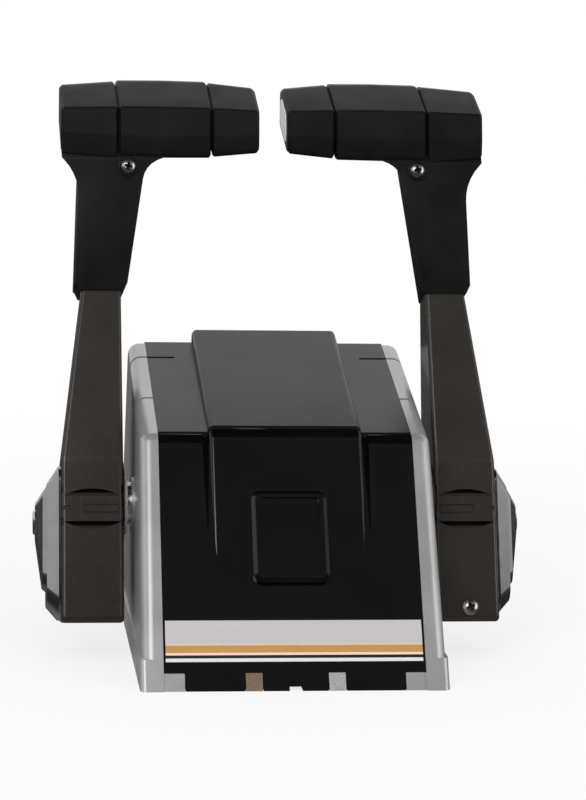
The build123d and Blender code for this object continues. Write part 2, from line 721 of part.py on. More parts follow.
spigot = block(
    neck_mid_x - spigot_w / 2, neck_mid_x + spigot_w / 2, -spigot_half_depth, spigot_half_depth,
    neck_z, neck_z + spigot_len,
)
lever = lever + spigot
lever = lever - rod_x(shaft_r, lever_in_x, lever_in_x + shaft_end_in_arm)
save_pair(tilt * lever, "lever")

# Collar and thrust washer between lever and casting.
boss_x = lever_in_x - boss_t
collar = rod_x(boss_r, boss_x, lever_in_x) - rod_x(shaft_r, boss_x, lever_in_x)
save_pair(tilt * collar, "lever_collar")
washer_x = boss_x - washer_t
washer = rod_x(washer_r, washer_x, boss_x) - rod_x(shaft_r, washer_x, boss_x)
save_pair(tilt * washer, "thrust_washer")


# ---- hub cap and its throttle-only push button ----------------------------------------
def cap_section(x, center, half_h, half_d):
    """Rounded outline of the cap at a height above the lever's outer face."""
    frame = Plane(origin=(lever_out_x + x, 0, center), x_dir=(0, 1, 0), z_dir=(1, 0, 0))
    return frame * RectangleRounded(2 * half_d, 2 * half_h, half_d * cap_corner_share)


cap = extrude(cap_section(0, cap_center, cap_half_h, cap_half_d), amount=cap_lip, dir=(1, 0, 0))
cap_base = cap_section(cap_lip, cap_center, cap_half_h, cap_half_d)
cap_ledge = cap_section(cap_ledge_x, cap_ledge_center, cap_ledge_half_h, cap_ledge_half_d)
cap_tier = cap_section(cap_ledge_x, cap_tier_center, cap_tier_half_h, cap_tier_half_d)
cap_step = cap_section(cap_step_x, cap_step_center, cap_step_half_h, cap_step_half_d)
cap_top = cap_section(cap_x, cap_top_center, cap_top_half_h, cap_top_half_d)
for lower, upper in ((cap_base, cap_ledge), (cap_tier, cap_step), (cap_step, cap_top)):
    cap = cap + loft([lower, upper], ruled=True)
cap = cap - rod_x(button_r + button_gap, lever_out_x, lever_out_x + cap_x, 0, cap_top_center)
cap = cap - rod_x(button_chamber_r, lever_out_x, lever_out_x + button_chamber_h, 0, cap_top_center)
save_pair(tilt * cap, "hub_cap")
collar_top = lever_out_x + button_chamber_h - seat_gap
button = rod_x(button_collar_r, collar_top - button_collar_t, collar_top, 0, cap_top_center)
plunger = rod_x(button_r, collar_top - button_collar_t, lever_out_x + cap_x + button_proud, 0, cap_top_center)
plunger = chamfer(plunger.edges().sort_by(Axis.X)[-1], button_dome)
save_pair(tilt * (button + plunger), "throttle_button")


# ---- grip: one faceted bar from a ruled loft, its stem, middle pad and end plate -------
def grip_corners(scale):
    """Section corners in the lever's frame, scaled about the section's middle."""
    level_corners = [
        (0, 0),
        (grip_front_lean, grip_front_h),
        (grip_cheek_lean, grip_cheek_h),
        (grip_palm_depth, grip_palm_h),
        (grip_depth, grip_rear_h),
        (grip_keel_depth, grip_keel_h),
        (grip_toe_depth, 0),
    ]
    mid_d = grip_depth / 2
    mid_h = grip_palm_h / 2
    turn = radians(rest_lean)
    corners = []
    for depth, height in level_corners:
        depth = mid_d + (depth - mid_d) * scale
        height = mid_h + (height - mid_h) * scale
        y = grip_foot_y + depth * cos(turn) - height * sin(turn)
        corners.append((y, grip_foot_z + depth * sin(turn) + height * cos(turn)))
    return corners


def grip_section(x, scale):
    """Faceted grip section at x."""
    corners = grip_corners(scale)
    return Plane.YZ.offset(x) * rounded_outline(corners, [grip_round * scale] * len(corners))


def grip_scale(x):
    """The bar tapers a little towards both ends."""
    if x < groove_inner_x:
        return 1 - (1 - grip_end_shrink) * (groove_inner_x - x) / (groove_inner_x - grip_inner_x)
    if x > groove_outer_x:
        return 1 - (1 - grip_end_shrink) * (x - groove_outer_x) / (grip_outer_x - groove_outer_x)
    return 1.0


grip_outer_x = lever_in_x + grip_outer_reach
groove_inner_x = grip_inner_x + grip_groove_in
groove_outer_x = lever_in_x + grip_groove_out
stations = [(grip_inner_x, grip_end_bevel), (grip_inner_x + grip_end_bevel, 0)]
for groove_x in (groove_inner_x, groove_outer_x):
    stations.append((groove_x - grip_groove_half, 0))
    stations.append((groove_x, grip_groove_depth))
    stations.append((groove_x + grip_groove_half, 0))
stations.append((grip_outer_x - grip_end_bevel, 0))
stations.append((grip_outer_x, grip_end_bevel))
bar = loft([grip_section(x, grip_scale(x) - sunk / grip_mean_half) for x, sunk in stations], ruled=True)

# The stem rises from the lever's neck, turns under the bar and runs out as a keel.
stem_in_x = lever_in_x - stem_lip
stem_out_x = neck_out_x + stem_lip
stem_outline = [
    (stem_in_x, neck_z),
    (stem_in_x - stem_lean_in, stem_inner_top),
    (stem_keel_x + stem_keel_run, stem_keel_top),
    (stem_keel_x, stem_top),
    (lever_in_x + stem_outer_reach - stem_keel_run, stem_top),
    (lever_in_x + stem_outer_reach, stem_outer_z),
    (lever_in_x + stem_waist_reach, stem_waist_z),
    (stem_out_x + stem_lip, neck_z + stem_lip),
    (stem_out_x, neck_z),
]
stem_radii = (0, stem_inner_round, 0, 0, 0, 0, stem_outer_round, 0, 0)
stem_face = Plane.XZ.offset(-grip_depth) * rounded_outline(stem_outline, stem_radii)
stem = extrude(stem_face, amount=2 * grip_depth, dir=(0, -1, 0))
front_foot, front_crease = grip_corners(1)[:2]
stem_side = [
    (-stem_half_depth, neck_z),
    front_foot,
    (front_crease[0] + pad_thickness, stem_top),
    (stem_back_y - pad_thickness, stem_top),
    (stem_back_y, stem_top - pad_thickness),
    (stem_half_depth, neck_z),
]
stem = stem & side_prism(stem_side, 0, grip_outer_x + stem_lip)
stem_edges = [
    edge
    for edge in stem.edges()
    if edge.length > stem_outer_round and neck_z + stem_lip < edge.center().Z < stem_inner_top
]
stem = fillet(stem_edges, stem_edge_round)
stem = stem & block(0, grip_outer_x, -grip_depth, grip_depth, neck_z, stem_top)
core_face = offset(grip_section(groove_inner_x, 1), amount=-pad_thickness)
core = extrude(core_face, amount=groove_outer_x - groove_inner_x, dir=(1, 0, 0))
pad_zone = block(groove_inner_x, groove_outer_x, -grip_depth, grip_depth, neck_z, grip_foot_z + 2 * grip_depth)
grip_pad = (bar & pad_zone) - core - stem
plate_face = offset(grip_section(grip_inner_x, grip_end_shrink), amount=-end_plate_inset)
end_plate = extrude(plate_face, amount=end_plate_t, dir=(1, 0, 0))
grip_body = (bar - pad_zone) + core + stem - end_plate - spigot
save_pair(tilt * grip_body, "grip_body")
save_pair(tilt * grip_pad, "grip_pad")
save_pair(tilt * end_plate, "grip_end_plate")
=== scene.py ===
from math import atan2, cos, pi, radians, sin, tan

import bmesh
import bpy
from mathutils import Matrix, Vector


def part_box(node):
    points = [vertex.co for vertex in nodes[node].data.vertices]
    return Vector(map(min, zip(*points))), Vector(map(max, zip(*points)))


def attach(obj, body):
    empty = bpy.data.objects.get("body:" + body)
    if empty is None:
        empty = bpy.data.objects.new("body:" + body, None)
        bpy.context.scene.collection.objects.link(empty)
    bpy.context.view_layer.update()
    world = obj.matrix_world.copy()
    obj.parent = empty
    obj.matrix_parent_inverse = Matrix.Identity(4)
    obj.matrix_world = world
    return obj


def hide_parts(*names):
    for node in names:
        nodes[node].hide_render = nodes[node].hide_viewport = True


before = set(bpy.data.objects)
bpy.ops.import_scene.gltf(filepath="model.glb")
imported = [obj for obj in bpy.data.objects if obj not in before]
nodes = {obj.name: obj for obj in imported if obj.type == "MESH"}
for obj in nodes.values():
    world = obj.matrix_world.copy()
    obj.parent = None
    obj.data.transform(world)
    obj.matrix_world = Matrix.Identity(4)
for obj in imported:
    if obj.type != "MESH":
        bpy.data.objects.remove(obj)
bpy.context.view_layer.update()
MM = 0.001

# ---- The view -------------------------------------------------------------------------
# A long lens stands to port of the control and a little above it, aimed slightly down.
# The camera's axes come from its yaw, pitch and roll, in radians.
CAMERA_PLACE = Vector((-138.3, -1238.9, 297.4)) * MM
CAMERA_YAW = 0.1164
CAMERA_PITCH = 0.1507
CAMERA_ROLL = 0.0228
LENS_MM = 128.7
NEAREST_SEEN = 10 * MM

ahead = Vector((
    sin(CAMERA_YAW) * cos(CAMERA_PITCH),
    cos(CAMERA_YAW) * cos(CAMERA_PITCH),
    -sin(CAMERA_PITCH),
))
level = Vector((cos(CAMERA_YAW), -sin(CAMERA_YAW), 0))
upright = level.cross(ahead)
right = cos(CAMERA_ROLL) * level + sin(CAMERA_ROLL) * upright
up = cos(CAMERA_ROLL) * upright - sin(CAMERA_ROLL) * level

camera = bpy.data.objects.new("camera", bpy.data.cameras.new("camera"))
camera.matrix_world = Matrix((
    (right.x, up.x, -ahead.x, CAMERA_PLACE.x),
    (right.y, up.y, -ahead.y, CAMERA_PLACE.y),
    (right.z, up.z, -ahead.z, CAMERA_PLACE.z),
    (0, 0, 0, 1),
))
camera.data.lens = LENS_MM
camera.data.clip_start = NEAREST_SEEN
bpy.context.scene.collection.objects.link(camera)
bpy.context.scene.camera = camera
bpy.context.scene.view_settings.view_transform = "Standard"


# ---- Studio light ---------------------------------------------------------------------
# An evenly lit white room. Polished surfaces see it darken overhead, low at the sides, and in
# front where it is unlit, so that black parts read as black and chrome gets its contrast.
ROOM_LEVEL = 0.78
CEILING_FROM = 0.52       # from here on, limits are shares of a heading's length
CEILING_TO = 0.72
CEILING_LEVEL = 0.2
ZENITH_FROM = 0.80
ZENITH_TO = 0.88
ZENITH_LEVEL = 0.12
UNLIT_FROM_Y = -0.35
UNLIT_TO_Y = -0.75
UNLIT_TOP = 0.7
UNLIT_BOTTOM = 0.45
UNLIT_LEVEL = 0.05
SIDE_FROM_X = 0.5
SIDE_TO_X = 0.8
SIDE_TOP = 0.35
SIDE_BOTTOM = 0.1
SIDE_LEVEL = 0.15


def linear(hex_color):
    """An sRGB hex colour as linear RGBA."""
    channels = [int(hex_color[i:i + 2], 16) / 255 for i in (1, 3, 5)]
    return [c / 12.92 if c <= 0.04045 else ((c + 0.055) / 1.055) ** 2.4 for c in channels] + [1.0]


def add(tree, kind, settings=None, inputs=None):
    """Add a shader node with its properties, and its socket values or links."""
    made = tree.nodes.new("ShaderNode" + kind)
    for name, value in (settings or {}).items():
        setattr(made, name, value)
    for name, value in (inputs or {}).items():
        if isinstance(value, bpy.types.NodeSocket):
            tree.links.new(value, made.inputs[name])
        else:
            made.inputs[name].default_value = value
    return made


def fade(tree, value, start, end, low, high):
    """A smooth change from low to high as a value goes from start to end."""
    made = add(tree, "MapRange", {"interpolation_type": "SMOOTHSTEP"}, {
        "Value": value, "From Min": start, "From Max": end, "To Min": low, "To Max": high,
    })
    return made.outputs["Result"]


def product(tree, first, second):
    """Two values multiplied."""
    return add(tree, "Math", {"operation": "MULTIPLY"}, {0: first, 1: second}).outputs["Value"]


world = bpy.data.worlds.new("white room")
bpy.context.scene.world = world
world.use_nodes = True
room = world.node_tree
room.nodes.clear()
heading = add(room, "SeparateXYZ", None, {"Vector": add(room, "TexCoord").outputs["Generated"]})
ceiling = fade(room, heading.outputs["Z"], CEILING_FROM, CEILING_TO, 1.0, CEILING_LEVEL)
zenith = fade(room, heading.outputs["Z"], ZENITH_FROM, ZENITH_TO, 1.0, ZENITH_LEVEL)
frontward = fade(room, heading.outputs["Y"], UNLIT_FROM_Y, UNLIT_TO_Y, 0.0, 1.0)
low_down = fade(room, heading.outputs["Z"], UNLIT_TOP, UNLIT_BOTTOM, 0.0, 1.0)
unlit = fade(room, product(room, frontward, low_down), 0.0, 1.0, 1.0, UNLIT_LEVEL)
across = add(room, "Math", {"operation": "ABSOLUTE"}, {0: heading.outputs["X"]}).outputs["Value"]
sideways = fade(room, across, SIDE_FROM_X, SIDE_TO_X, 0.0, 1.0)
level_down = fade(room, heading.outputs["Z"], SIDE_TOP, SIDE_BOTTOM, 0.0, 1.0)
dim_side = fade(room, product(room, sideways, level_down), 0.0, 1.0, 1.0, SIDE_LEVEL)
mirrored = product(room, product(room, ceiling, zenith), product(room, unlit, dim_side))
rays = add(room, "LightPath")
seen_level = add(room, "MapRange", None, {
    "Value": rays.outputs["Is Glossy Ray"],
    "To Min": ROOM_LEVEL, "To Max": product(room, mirrored, ROOM_LEVEL),
})
room_light = add(room, "Background", None, {
    "Color": linear("#ffffff"), "Strength": seen_level.outputs["Result"],
})
room_shown = add(room, "Background", None, {"Color": linear("#ffffff"), "Strength": 1.0})
room_mix = add(room, "MixShader", None, {
    "Fac": rays.outputs["Is Camera Ray"], 1: room_light.outputs[0], 2: room_shown.outputs[0],
})
add(room, "OutputWorld", None, {"Surface": room_mix.outputs[0]})


AIM = Vector((0, 0, 0.1))


def lamp(name, place, width, height, watts):
    """A soft box: a rectangular area lamp aimed at the control, sizes in metres."""
    data = bpy.data.lights.new(name, "AREA")
    data.shape = "RECTANGLE"
    data.size = width
    data.size_y = height
    data.energy = watts
    made = bpy.data.objects.new(name, data)
    made.location = place
    made.rotation_euler = (AIM - Vector(place)).to_track_quat("-Z", "Y").to_euler()
    bpy.context.scene.collection.objects.link(made)


lamp("key soft box", (-0.95, -1.75, 1.5), 1.1, 1.1, 15)
lamp("fill soft box", (1.8, -1.2, 0.8), 1.0, 1.4, 9)
lamp("rear soft box", (0.2, 1.6, 1.75), 2.0, 1.0, 3.5)


# ---- Studio floor ---------------------------------------------------------------------
# White paper laid flat. It keeps the control's soft shadow and fades to plain white away
# from it, so no edge shows.
FLOOR_SPAN = 9.0
SHADOW_REACH = 0.26
PAPER_END = 0.75
PAPER_SHOWN_WHITE = 0.78
DARK_FROM = 0.02          # polished parts see the paper painted dark from here on, painted shade for an unlit studio
DARK_TO = 0.14


def blank_material(name):
    """A material whose node tree holds only its output."""
    material = bpy.data.materials.new(name)
    material.use_nodes = True
    material.node_tree.nodes.clear()
    return material, material.node_tree, material.node_tree.nodes.new("ShaderNodeOutputMaterial")


def link_object(name, mesh):
    """Put a mesh in the scene under a name."""
    made = bpy.data.objects.new(name, mesh)
    bpy.context.scene.collection.objects.link(made)
    return made


half = FLOOR_SPAN / 2
floor_mesh = bpy.data.meshes.new("floor")
floor_mesh.from_pydata(
    [(-half, -half, 0), (half, -half, 0), (half, half, 0), (-half, half, 0)], [], [(0, 1, 2, 3)]
)
floor = link_object("floor", floor_mesh)
paper, tree, output = blank_material("white studio paper")
plain_white = add(tree, "Emission", None, {"Color": linear("#ffffff"), "Strength": 1.0})
away = add(tree, "VectorMath", {"operation": "LENGTH"}, {0: add(tree, "TexCoord").outputs["Object"]})
beyond = fade(tree, away.outputs["Value"], DARK_FROM, DARK_TO, 0.0, 1.0)
# painted reflection: to glossy rays the paper turns dark grey away from the control, painted shade
paper_with_painted_reflection = add(tree, "MixRGB", None, {
    "Fac": product(tree, beyond, add(tree, "LightPath").outputs["Is Glossy Ray"]),
    "Color1": linear("#f2f2f1"), "Color2": linear("#30302e"),
})
shader = add(tree, "BsdfPrincipled", None, {"Base Color": paper_with_painted_reflection.outputs["Color"], "Roughness": 0.9})
whiteness = fade(tree, away.outputs["Value"], SHADOW_REACH, PAPER_END, PAPER_SHOWN_WHITE, 1.0)
to_lens = add(tree, "LightPath").outputs["Is Camera Ray"]
paper_mix = add(tree, "MixShader", None, {
    "Fac": product(tree, whiteness, to_lens), 1: shader.outputs[0], 2: plain_white.outputs[0],
})
tree.links.new(paper_mix.outputs[0], output.inputs["Surface"])
floor_mesh.materials.append(paper)


# ---- Side castings and rail inserts ---------------------------------------------------
# Pressure die-cast aluminium, sprayed with fine silver lacquer: pale grey, a little metallic,
# with a soft sheen, barely visible flake and slight clouding where the coat is thicker.
FLAKE_MM = 0.35
ORANGE_PEEL_MM = 2.5
CLOUD_MM = 28.0
NOISE_LOW = 0.3           # most of a noise's values lie between these two
NOISE_HIGH = 0.7


def noise(tree, size_mm, detail=2.0, roughness=0.5, stretch=(1, 1, 1)):
    """Noise whose features are about a size in millimetres, fixed to the part."""
    place = add(tree, "Mapping", {"vector_type": "POINT"}, {
        "Vector": add(tree, "TexCoord").outputs["Object"], "Scale": stretch,
    })
    made = add(tree, "TexNoise", None, {
        "Vector": place.outputs["Vector"], "Scale": 1 / (size_mm * MM),
        "Detail": detail, "Roughness": roughness,
    })
    return made.outputs["Fac"]


def tones(tree, value, dark, light, start=NOISE_LOW, end=NOISE_HIGH):
    """A colour between two tones, from a value."""
    ramp = add(tree, "ValToRGB", None, {"Fac": value})
    ramp.color_ramp.elements[0].position = start
    ramp.color_ramp.elements[0].color = linear(dark)
    ramp.color_ramp.elements[1].position = end
    ramp.color_ramp.elements[1].color = linear(light)
    return ramp.outputs["Color"]


def between(tree, value, low, high):
    """A plain number between two limits, from a value."""
    made = add(tree, "MapRange", None, {
        "Value": value, "From Min": NOISE_LOW, "From Max": NOISE_HIGH, "To Min": low, "To Max": high,
    })
    return made.outputs["Result"]


def relief(tree, height, depth_mm, strength):
    """A bump of a depth in millimetres."""
    made = add(tree, "Bump", None, {"Strength": strength, "Distance": depth_mm * MM, "Height": height})
    return made.outputs["Normal"]


def close(tree, output, inputs):
    """End a material with its principled shader."""
    shader = add(tree, "BsdfPrincipled", None, inputs)
    tree.links.new(shader.outputs[0], output.inputs["Surface"])


def paint(finish, *names):
    """Give parts of the frame a finish through their material slots."""
    for name in names:
        part = nodes[name]
        if not part.material_slots:
            part.data.materials.append(finish)
        for slot in part.material_slots:
            slot.material = finish


def pair(*names):
    """Port and starboard names of like parts."""
    return [side + name for name in names for side in ("left_", "right_")]


silver, tree, output = blank_material("silver lacquered die-cast aluminium")
flake = tones(tree, noise(tree, FLAKE_MM), "#bfbfc0", "#c9c9c9")
clouding = tones(tree, noise(tree, CLOUD_MM, 3.0), "#e9e9ea", "#ffffff")
lacquer = add(tree, "MixRGB", {"blend_type": "MULTIPLY"}, {"Fac": 1.0, "Color1": flake, "Color2": clouding})
close(tree, output, {
    "Base Color": lacquer.outputs["Color"], "Metallic": 0.62,
    "Roughness": between(tree, noise(tree, CLOUD_MM, 2.0), 0.3, 0.38),
    "Coat Weight": 0.25, "Coat Roughness": 0.2,
    "Normal": relief(tree, noise(tree, ORANGE_PEEL_MM, 1.0), 0.2, 0.04),
})
paint(silver, *pair("side_plate", "rail_insert"))


# ---- Front panel and badge place ------------------------------------------------------
# Injection-moulded ABS from a polished tool: deep black, mirror-like, with the faintest sink
# in its reflections. The bezel and the bare plate in it are pressed from the same stock.
SINK_MM = 30.0
HAZE_MM = 6.0

piano_black, tree, output = blank_material("polished black ABS")
close(tree, output, {
    "Base Color": tones(tree, noise(tree, SINK_MM), "#040404", "#070706"),
    "Roughness": between(tree, noise(tree, HAZE_MM, 3.0), 0.06, 0.12), "IOR": 1.5,
    "Normal": relief(tree, noise(tree, SINK_MM, 1.0), 0.5, 0.03),
})
paint(piano_black, "front_panel", "badge_bezel", "badge_plate")


# ---- Striped decal --------------------------------------------------------------------
# Screen-printed polyester film on the panel's foot: a grey field over an orange line between
# two pale ones, then a black and a white line. The ink lies a little unevenly.
STRIPES = (               # colour, and where it starts as a share of the film's height
    ("#e2dedf", 0.0),
    ("#241d21", 0.09),
    ("#f0d3bd", 0.165),
    ("#c48f50", 0.225),
    ("#dcc6ae", 0.40),
    ("#c3bfc0", 0.43),
)
INK_MM = 1.5

film_low, film_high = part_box("stripe_label")
film, tree, output = blank_material("printed polyester film")
spot = add(tree, "SeparateXYZ", None, {"Vector": add(tree, "TexCoord").outputs["Object"]})
up_film = add(tree, "MapRange", None, {
    "Value": spot.outputs["Z"], "From Min": film_low[2], "From Max": film_high[2],
})
print_ramp = add(tree, "ValToRGB", None, {"Fac": up_film.outputs["Result"]})
print_ramp.color_ramp.interpolation = "CONSTANT"
bands = print_ramp.color_ramp.elements
for color, start in STRIPES:
    band = bands[0] if start == 0 else bands.new(start)
    band.color = linear(color)
bands.remove(bands[-1])
ink = tones(tree, noise(tree, INK_MM, 3.0), "#f9f9f9", "#ffffff")
inked = add(tree, "MixRGB", {"blend_type": "MULTIPLY"}, {
    "Fac": 1.0, "Color1": print_ramp.outputs["Color"], "Color2": ink,
})
close(tree, output, {
    "Base Color": inked.outputs["Color"], "Roughness": between(tree, noise(tree, INK_MM, 2.0), 0.28, 0.36),
})
paint(film, "stripe_label")


# ---- Lid and rear cover ---------------------------------------------------------------
# ABS moulded in a fine spark-eroded tool: black with a satin bloom that turns grey where it
# mirrors the light behind it.
SPARK_MM = 0.4
BLOOM_MM = 18.0

satin_black, tree, output = blank_material("satin black ABS")
close(tree, output, {
    "Base Color": tones(tree, noise(tree, SPARK_MM), "#141411", "#191915"),
    "Roughness": between(tree, noise(tree, BLOOM_MM, 3.0), 0.29, 0.32), "IOR": 1.5,
    "Normal": relief(tree, noise(tree, SPARK_MM), 0.1, 0.12),
})
paint(satin_black, "top_cover", "rear_cover")


# ---- Levers ---------------------------------------------------------------------------
# Gravity-cast aluminium arms under a dark brown-black stoving lacquer: glossy and even, with
# a light orange peel. The two grooves across each hub are painted black, painted shade for the
# shadow in them. The collar behind the hub has the same coat.
SPRAY_MM = 1.2
FLOW_MM = 22.0

REST_LEAN = radians(21)   # the levers' lean at rest, from upright
PIVOT_Z = 61.0            # lengths on the levers are in millimetres
UPPER_GROOVE = (3.75, 1.75)      # middle and half height, from the pivot
LOWER_GROOVE = (-10.6, 1.9)
GROOVE_HALF_LENGTH = 18.15

lever_lacquer, tree, output = blank_material("dark brown stoving lacquer")
spot = add(tree, "SeparateXYZ", None, {"Vector": add(tree, "TexCoord").outputs["Object"]})
above = add(tree, "Math", {"operation": "SUBTRACT"}, {
    0: spot.outputs["Z"], 1: PIVOT_Z * MM,
}).outputs["Value"]


def along(depth_share, height_share):
    """How far a point lies from the pivot along a direction of the leaning lever."""
    total = add(tree, "Math", {"operation": "MULTIPLY"}, {0: spot.outputs["Y"], 1: depth_share})
    return add(tree, "Math", {"operation": "MULTIPLY_ADD"}, {
        0: above, 1: height_share, 2: total.outputs["Value"],
    }).outputs["Value"]


def near(value, middle_mm, half_mm):
    """One where a value lies within a half size of its middle, else nothing."""
    return add(tree, "Math", {"operation": "COMPARE"}, {
        0: value, 1: middle_mm * MM, 2: half_mm * MM,
    }).outputs["Value"]


up_lever = along(sin(REST_LEAN), cos(REST_LEAN))
grooves = add(tree, "Math", {"operation": "MAXIMUM"}, {
    0: near(up_lever, *UPPER_GROOVE), 1: near(up_lever, *LOWER_GROOVE),
}).outputs["Value"]
# painted shade: the lacquer turns black in the two hub grooves, standing in for the shadow there
painted_groove_shade = product(tree, grooves, near(along(cos(REST_LEAN), -sin(REST_LEAN)), 0.0, GROOVE_HALF_LENGTH))
coat = add(tree, "MixRGB", None, {
    "Fac": painted_groove_shade, "Color1": tones(tree, noise(tree, FLOW_MM, 3.0), "#29241f", "#2f2a26"),
    "Color2": linear("#050505"),
})
close(tree, output, {
    "Base Color": coat.outputs["Color"],
    "Roughness": between(tree, noise(tree, SPRAY_MM, 3.0), 0.2, 0.28), "IOR": 1.5,
    "Normal": relief(tree, noise(tree, SPRAY_MM), 0.2, 0.05),
})
paint(lever_lacquer, *pair("lever", "lever_collar"))


# ---- Grips ----------------------------------------------------------------------------
# Self-skinned polyurethane foam over a rigid core: matt black with a fine pebble grain that
# the hand has begun to smooth. Each is one moulding, a faceted bar that flows into a stem, and
# a separate sleeve stretched into the bar's middle for the palm.
PEBBLE_MM = 0.7
HANDLED_MM = 16.0
LEVER_IN_X = 68.5         # lengths from here on are in millimetres too
BAR_FOOT_Y = -16.0        # front lower corner, from the lever's own axis
BAR_FOOT_Z = 153.4
BAR_CORNERS = (           # depth and height from that corner, level as the bar lies at rest
    (0.0, 0.0), (0.6, 11.0), (3.8, 23.5), (33.0, 33.7), (45.0, 33.9), (43.0, 14.5),
)
BAR_MIDDLE = (22.0, 17.5)
BAR_HALF = 14.0           # mean distance from the section's middle to its faces
TAPER_DEPTH = 4.0         # the taper spares the front face
BAR_ROUND = 2.4
MERGED_ROUND = 0.5        # lower front edge, where the stem runs into the bar
BAR_IN_X = 6.3
BAR_OUT_X = LEVER_IN_X + 26.8
PALM_IN_X = 28.2
PALM_OUT_X = LEVER_IN_X + 0.9
PALM_GAP = 0.7
PALM_WALL = 2.4
EDGE_BEVEL = 0.8
END_BEVEL = 1.3
GROOVE_DEPTH = 2.6
TAPER_AT_END = 0.85
TAPER_AT_GROOVE = 0.955
TAPER_AT_PALM_EDGE = 0.985
ARC_STEPS = 5
NECK_Z = 95.1
STEM_TOP = 176.0
STEM_OUTLINE = (          # X from the lever's inner face, height, and corner radius
    (1.1, 65.0, 0), (-11.0, 152.6, 12), (-26.0, 156.2, 0), (-26.0, STEM_TOP, 0), (26.4, STEM_TOP, 0),
    (26.4, 154.2, 0), (18.7, 145.4, 26), (21.2, 65.0, 0),
)
STEM_SIDE = ((-10.0, NECK_Z), (-16.0, 153.6), (-12.0, STEM_TOP), (3.0, STEM_TOP), (10.0, NECK_Z))
STEM_LIP = (              # its foot narrows a little where it covers the lever's neck
    (-0.6, NECK_Z), (-2.9, 98.5), (-60.0, 98.5), (-60.0, STEM_TOP + 1), (40.0, STEM_TOP + 1),
    (40.0, 98.5), (20.2, 98.5), (18.6, NECK_Z),
)
STEM_ROUND = 1.6
STEM_FORWARD = 26.0 / 3
STEM_REACH = 26.0
ROUND_SEGMENTS = 3
SMOOTH_BELOW = radians(28)

grip_skin, tree, output = blank_material("self-skinned black polyurethane")
close(tree, output, {
    "Base Color": tones(tree, noise(tree, HANDLED_MM, 3.0), "#0f0e0d", "#161513"),
    "Roughness": between(tree, noise(tree, HANDLED_MM, 2.0), 0.42, 0.52), "Specular IOR Level": 0.2,
    "Normal": relief(tree, noise(tree, PEBBLE_MM, 3.0), 0.2, 0.3),
})


def on_lever(x, y, z):
    """A point of the upright lever as it leans at rest, in metres."""
    return Vector((
        x, y * cos(REST_LEAN) + z * sin(REST_LEAN), PIVOT_Z + z * cos(REST_LEAN) - y * sin(REST_LEAN),
    )) * MM


def rounded(corners, radii):
    """A closed outline with each corner turned by its radius, or left sharp at nought."""
    points = []
    for i, radius in enumerate(radii):
        corner = Vector(corners[i])
        back = (Vector(corners[i - 1]) - corner).normalized()
        on = (Vector(corners[(i + 1) % len(corners)]) - corner).normalized()
        if radius == 0:
            points.append(corner)
            continue
        half_angle = back.angle(on) / 2
        reach = radius / tan(half_angle)
        middle = corner + (back + on).normalized() * radius / sin(half_angle)
        start = corner + back * reach - middle
        end = corner + on * reach - middle
        for step in range(ARC_STEPS + 1):
            points.append(middle + start.slerp(end, step / ARC_STEPS).normalized() * radius)
    return points


def bar_ring(x, taper, sunk=0.0, foot_round=BAR_ROUND):
    """The bar's section at x, tapered and then sunk evenly, as points in metres."""
    keep = 1 - sunk / BAR_HALF
    corners = []
    for depth, height in BAR_CORNERS:
        depth = TAPER_DEPTH + (depth - TAPER_DEPTH) * taper
        height = BAR_MIDDLE[1] + (height - BAR_MIDDLE[1]) * taper
        depth = BAR_MIDDLE[0] + (depth - BAR_MIDDLE[0]) * keep
        height = BAR_MIDDLE[1] + (height - BAR_MIDDLE[1]) * keep
        corners.append((
            BAR_FOOT_Y + depth * cos(REST_LEAN) - height * sin(REST_LEAN),
            BAR_FOOT_Z + depth * sin(REST_LEAN) + height * cos(REST_LEAN),
        ))
    radii = [foot_round] + [BAR_ROUND] * (len(corners) - 1)
    return [on_lever(x, y, z) for y, z in rounded(corners, radii)]


def skinned(name, rings, looped=False):
    """A closed mesh over rings of equal count, capped at both ends unless it is looped."""
    shape = bmesh.new()
    made = [[shape.verts.new(point) for point in ring] for ring in rings]
    following = made[1:] + ([made[0]] if looped else [])
    for near, far in zip(made, following):
        for i in range(len(near)):
            j = (i + 1) % len(near)
            shape.faces.new((near[i], near[j], far[j], far[i]))
    if not looped:
        shape.faces.new(made[0])
        shape.faces.new(made[-1])
    bmesh.ops.recalc_face_normals(shape, faces=shape.faces)
    mesh = bpy.data.meshes.new(name)
    shape.to_mesh(mesh)
    shape.free()
    return link_object(name, mesh)


def settle(piece):
    """Turn a piece's modifiers into its mesh."""
    bpy.context.view_layer.update()
    settled = bpy.data.meshes.new_from_object(piece.evaluated_get(bpy.context.evaluated_depsgraph_get()))
    piece.modifiers.clear()
    piece.data = settled


def combine(piece, other, operation):
    """Cut, join or trim a piece with another."""
    change = piece.modifiers.new("change", "BOOLEAN")
    change.object = other
    change.operation = operation
    settle(piece)


def mirrored_port(piece):
    """Turn a starboard piece into its port twin."""
    piece.data.transform(Matrix.Diagonal((-1, 1, 1, 1)))
    piece.data.flip_normals()


